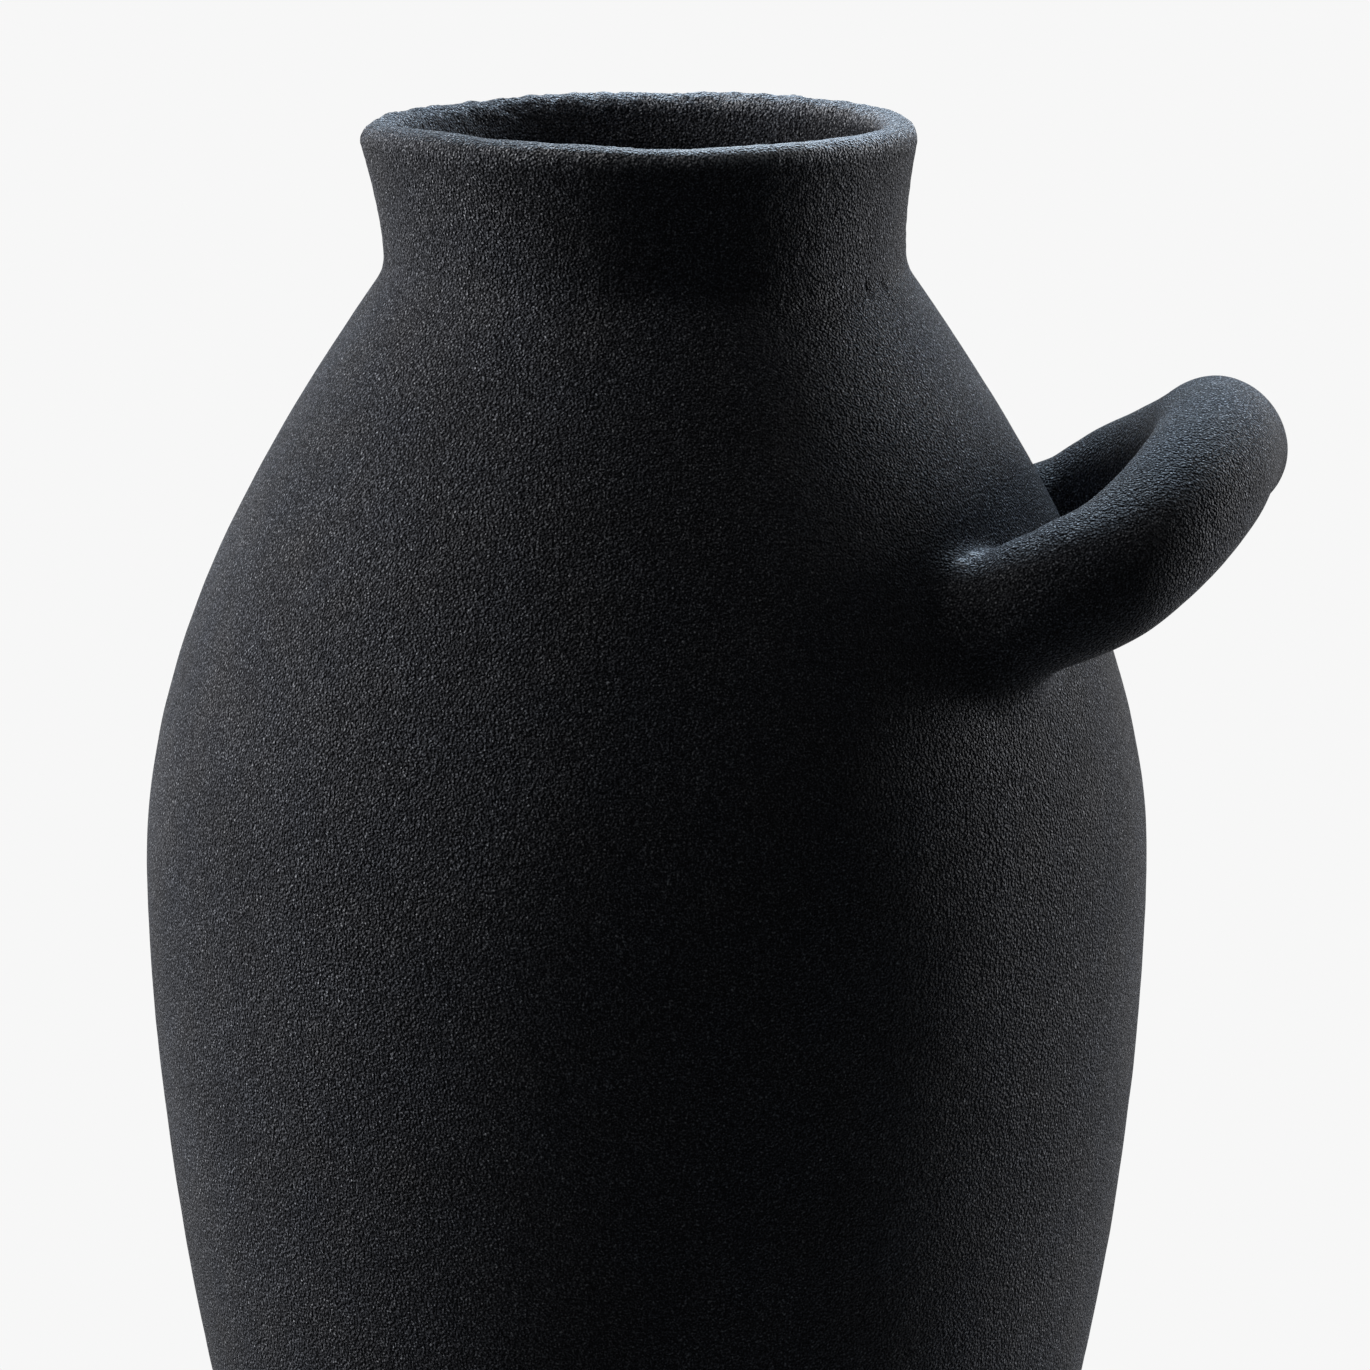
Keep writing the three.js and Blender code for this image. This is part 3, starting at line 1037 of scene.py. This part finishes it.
    def build_coil(self) -> None:
        """Rolls the coil along its path, trims both ends inside the wall and presses it uneven."""
        made = rolled(
            "loop_handle",
            self.coil_sides,
            self.coil_rows,
            lambda u, v: self.surface(self.sweep * (2 * v - 1), 2 * math.pi * u)[0],
        )
        bpy.ops.object.mode_set(mode="EDIT")
        bpy.ops.mesh.select_all(action="SELECT")
        bpy.ops.mesh.fill_holes(sides=0)
        close_mesh()
        former = self.former()
        activate(made)
        trim = made.modifiers.new("trim", "BOOLEAN")
        trim.operation = "DIFFERENCE"
        trim.solver = "EXACT"
        trim.object = former
        bpy.ops.object.modifier_apply(modifier=trim.name)
        bpy.data.objects.remove(former)
        for pressing in self.uneven:
            pressing.press(made)
        # Paints a highlight on the coil's upper side.
        write_rub_and_highlight(made, self.coil_painted_highlight)
        finish_piece(made, "handle_coil", self.finish)

    def root_angle(self, turn: float, side: Side) -> float:
        """Angle where a line along the coil leaves the wall, found by halving."""
        outside, inside = 0.0, self.sweep
        for _ in range(self.halvings):
            angle = (outside + inside) / 2
            point, _ = self.surface(side.value * angle, turn)
            if math.hypot(point.x, point.y) < self.profile.outer(point.z):
                inside = angle
            else:
                outside = angle
        return outside

    def lute_section(self, turn: float, side: Side) -> list[Vector]:
        """Section of a luting coil: a hollow fillet from the coil to the wall, closed inside the clay.

        Args:
            turn: angle round the coil.
            side: which root of the handle.

        Returns:
            Points of the closed section.
        """
        angle = self.root_angle(turn, side)
        pace = (self.centre(angle + self.pace_step) - self.centre(angle)).length / self.pace_step
        root, out = self.surface(side.value * angle, turn)
        above = ease(0, 1, math.sin(turn - self.lute_turn))
        below = ease(0, 1, -math.sin(turn))
        size = 1 + (self.lute_top - 1) * above + (self.lute_foot - 1) * below
        tip, tip_out = self.surface(side.value * (angle - size * self.lute_along / pace), turn)
        normal = self.profile.normal(root)
        away = (out - normal * out.dot(normal)).normalized()
        toe = root + away * self.lute_across * size
        onto = self.profile.outer(toe.z) / math.hypot(toe.x, toe.y)
        toe = Vector((toe.x * onto, toe.y * onto, toe.z))
        toe_out = self.profile.normal(toe)
        start = tip - tip_out * self.edge_depth
        end = toe - toe_out * self.edge_depth
        return [
            *hollow(start, root, end, self.hollow_steps),
            toe - toe_out * self.end_depth,
            root - (out + normal) * self.heel_depth,
            tip - tip_out * self.end_depth,
        ]

    def lute_painted_highlight(self, vertex: bpy.types.MeshVertex) -> float:
        """Painted highlight on a luting coil: most on the upward-facing top of its hollow, not at its
        edges.
        """
        point = vertex.co
        off_wall = math.hypot(point.x, point.y) - self.profile.outer(point.z)
        near = ease(0, self.lute_highlight_off, off_wall)
        far = ease(self.lute_along, self.lute_highlight_fade * self.lute_along, off_wall)
        return self.lute_highlight_amount * near * far * ease(*self.lute_highlight_facing, vertex.normal.z)

    def build_lute(self, name: str, node: str, side: Side) -> None:
        """Lofts the sections of one luting coil into a ring."""
        sections = [
            self.lute_section(2 * math.pi * i / self.lute_steps, side) for i in range(self.lute_steps)
        ]
        count = len(sections[0])

        def place(u: float, v: float) -> Vector:
            """Point of the ring for two shares."""
            return sections[round(u * self.lute_steps) % self.lute_steps][round(v * count) % count]

        made = rolled(name, self.lute_steps, count, place)
        spots = [
            sections[round(turn / 360 * self.lute_steps)][round(share * self.hollow_steps)]
            for turn, share in self.crumbs
            if side is Side.FRONT
        ]

        def quartz_and_glint(vertex: bpy.types.MeshVertex) -> float:
            """Share of a crumb and its painted glint at a vertex."""
            return sum(math.exp(-(((vertex.co - spot).length / self.crumb) ** 2)) for spot in spots)

        # Painted highlight on the hollow's top, and painted glints on the crumbs.
        write_rub_and_highlight(made, lambda v: self.lute_painted_highlight(v) + self.crumb_glint * quartz_and_glint(v))
        for vertex in made.data.vertices:
            vertex.co += vertex.normal * (self.crumb_rise * quartz_and_glint(vertex))
        finish_piece(made, node, self.finish)

    def build(self) -> None:
        """Makes the coil and both luting coils."""
        self.build_coil()
        self.build_lute("front_lute", "luting_coil_front", Side.FRONT)
        self.build_lute("rear_lute", "luting_coil_rear", Side.REAR)


@dataclass(frozen=True)
class Softbox:
    """A soft lamp: where it hangs, seen from the object, with its size, power and colour.

    The bearing is from the camera to the right and the elevation from the level, both in degrees.
    """

    name: str
    bearing: float
    elevation: float
    width: float
    tall: float
    watts: float
    colour: str
    distance: float = 1.3


@dataclass
class Studio:
    """Camera, lamps, pale world and floor."""

    # The photograph's viewing angle, the camera's distance and lens, and the point that it looks at.
    azimuth: float = math.radians(4.375)
    elevation: float = math.radians(10.306)
    distance: float = 1.6
    lens: float = 210.12
    sensor: float = 36.0
    aim_right: float = 7.65 * MM
    aim_height: float = 216.68 * MM
    pale: str = "#f7f7f7"
    ambient: float = 0.004
    floor_size: float = 12.0
    # The floor keeps its shadow as far as the first distance and passes into the world at the second.
    shadow_reach: tuple[float, float] = (0.12, 0.30)
    floor_glow: float = 0.5
    floor_paint: str = "#7b7b7b"
    floor_dull: str = "#505050"
    lamps: Sequence[Softbox] = (
        Softbox("left_softbox", -99, 15, 0.3, 0.3, 3.6, "#ffffff", 0.61),
        Softbox("high_softbox", -82, 45, 0.45, 0.45, 2.6, "#ffffff"),
        Softbox("right_softbox", 121, 10, 0.45, 0.5, 15.6, "#ffffff"),
        Softbox("back_softbox", 172, 45, 0.8, 0.45, 28, "#d5ecff"),
    )

    def seen(self, tree: bpy.types.NodeTree) -> bpy.types.NodeSocket:
        """Adds nodes that give 1 for camera, glossy and transmission rays and 0 for the rest."""
        path = add_node(tree, "ShaderNodeLightPath").outputs
        either = add_node(
            tree,
            "ShaderNodeMath",
            {0: path["Is Camera Ray"], 1: path["Is Glossy Ray"]},
            operation="MAXIMUM",
        ).outputs[0]
        return add_node(
            tree, "ShaderNodeMath", {0: either, 1: path["Is Transmission Ray"]}, operation="MAXIMUM"
        ).outputs[0]

    def build_world(self) -> None:
        """Makes a world that looks pale and lights the object little."""
        world = bpy.data.worlds.new("pale_world")
        bpy.context.scene.world = world
        tree = empty_tree(world)
        dim = add_node(tree, "ShaderNodeBackground", {"Color": linear("#ffffff"), "Strength": self.ambient})
        pale = add_node(tree, "ShaderNodeBackground", {"Color": linear(self.pale)})
        mixed = add_node(
            tree, "ShaderNodeMixShader", {0: self.seen(tree), 1: dim.outputs[0], 2: pale.outputs[0]}
        )
        add_node(tree, "ShaderNodeOutputWorld", {"Surface": mixed.outputs[0]})

    def build_floor(self) -> None:
        """Makes a pale floor that keeps the shadow near the object and passes into the world beyond."""
        floor = start_mesh("studio_floor", bpy.ops.mesh.primitive_plane_add, size=self.floor_size)
        made = bpy.data.materials.new("pale_floor")
        tree = empty_tree(made)
        place = add_node(tree, "ShaderNodeTexCoord").outputs["Object"]
        radius = add_node(tree, "ShaderNodeVectorMath", {0: place}, operation="LENGTH").outputs["Value"]
        near_end, far_end = self.shadow_reach
        far = add_node(
            tree,
            "ShaderNodeMapRange",
            {"Value": radius, "From Min": near_end, "From Max": far_end},
            interpolation_type="SMOOTHSTEP",
        ).outputs[0]
        glow = add_node(
            tree, "ShaderNodeEmission", {"Color": linear(self.pale), "Strength": self.floor_glow}
        ).outputs[0]
        paint = add_node(tree, "ShaderNodeBsdfDiffuse", {"Color": linear(self.floor_paint)}).outputs[0]
        near = add_node(tree, "ShaderNodeAddShader", {0: glow, 1: paint}).outputs[0]
        pale = add_node(tree, "ShaderNodeEmission", {"Color": linear(self.pale)}).outputs[0]
        shown = add_node(tree, "ShaderNodeMixShader", {0: far, 1: near, 2: pale}).outputs[0]
        dull = add_node(tree, "ShaderNodeBsdfDiffuse", {"Color": linear(self.floor_dull)}).outputs[0]
        mixed = add_node(tree, "ShaderNodeMixShader", {0: self.seen(tree), 1: dull, 2: shown}).outputs[0]
        add_node(tree, "ShaderNodeOutputMaterial", {"Surface": mixed})
        floor.data.materials.append(made)

    def build_lamps(self) -> None:
        """Hangs the lamps round the object, each turned to its middle."""
        aim = Vector((0, 0, self.aim_height))
        for lamp in self.lamps:
            bearing = self.azimuth + math.radians(lamp.bearing)
            rise = math.radians(lamp.elevation)
            level = Vector((math.sin(bearing), -math.cos(bearing), 0))
            place = aim + (level * math.cos(rise) + UP * math.sin(rise)) * lamp.distance
            bpy.ops.object.light_add(type="AREA", location=place)
            made = bpy.context.object
            made.name = lamp.name
            made.rotation_euler = (aim - place).to_track_quat("-Z", "Y").to_euler()
            made.data.shape = "RECTANGLE"
            made.data.size = lamp.width
            made.data.size_y = lamp.tall
            made.data.energy = lamp.watts
            made.data.color = linear(lamp.colour)[:3]

    def build_camera(self) -> None:
        """Sets the camera at the photograph's viewing angle."""
        right = Vector((math.cos(self.azimuth), math.sin(self.azimuth), 0))
        level = Vector((-math.sin(self.azimuth), math.cos(self.azimuth), 0))
        forward = level * math.cos(self.elevation) - UP * math.sin(self.elevation)
        aim = right * self.aim_right + UP * self.aim_height
        bpy.ops.object.camera_add(location=aim - forward * self.distance)
        camera = bpy.context.object
        camera.name = "studio_camera"
        camera.rotation_euler = forward.to_track_quat("-Z", "Y").to_euler()
        camera.data.lens = self.lens
        camera.data.sensor_width = self.sensor
        bpy.context.scene.camera = camera

    def build(self) -> None:
        """Makes the whole studio."""
        bpy.context.scene.view_settings.view_transform = "Standard"
        self.build_world()
        self.build_floor()
        self.build_lamps()
        self.build_camera()


def main() -> None:
    """Builds the vase and the studio round it."""
    logging.basicConfig(level=logging.INFO, format="%(relativeCreated)6d ms  %(message)s")
    profile = VesselProfile()
    Studio().build()
    Vessel(profile, SANDED_STONEWARE).build()
    SeamCoils(profile, BARE_CLAY).build()
    LoopHandle(profile, SANDED_STONEWARE).build()


if __name__ == "__main__":
    main()
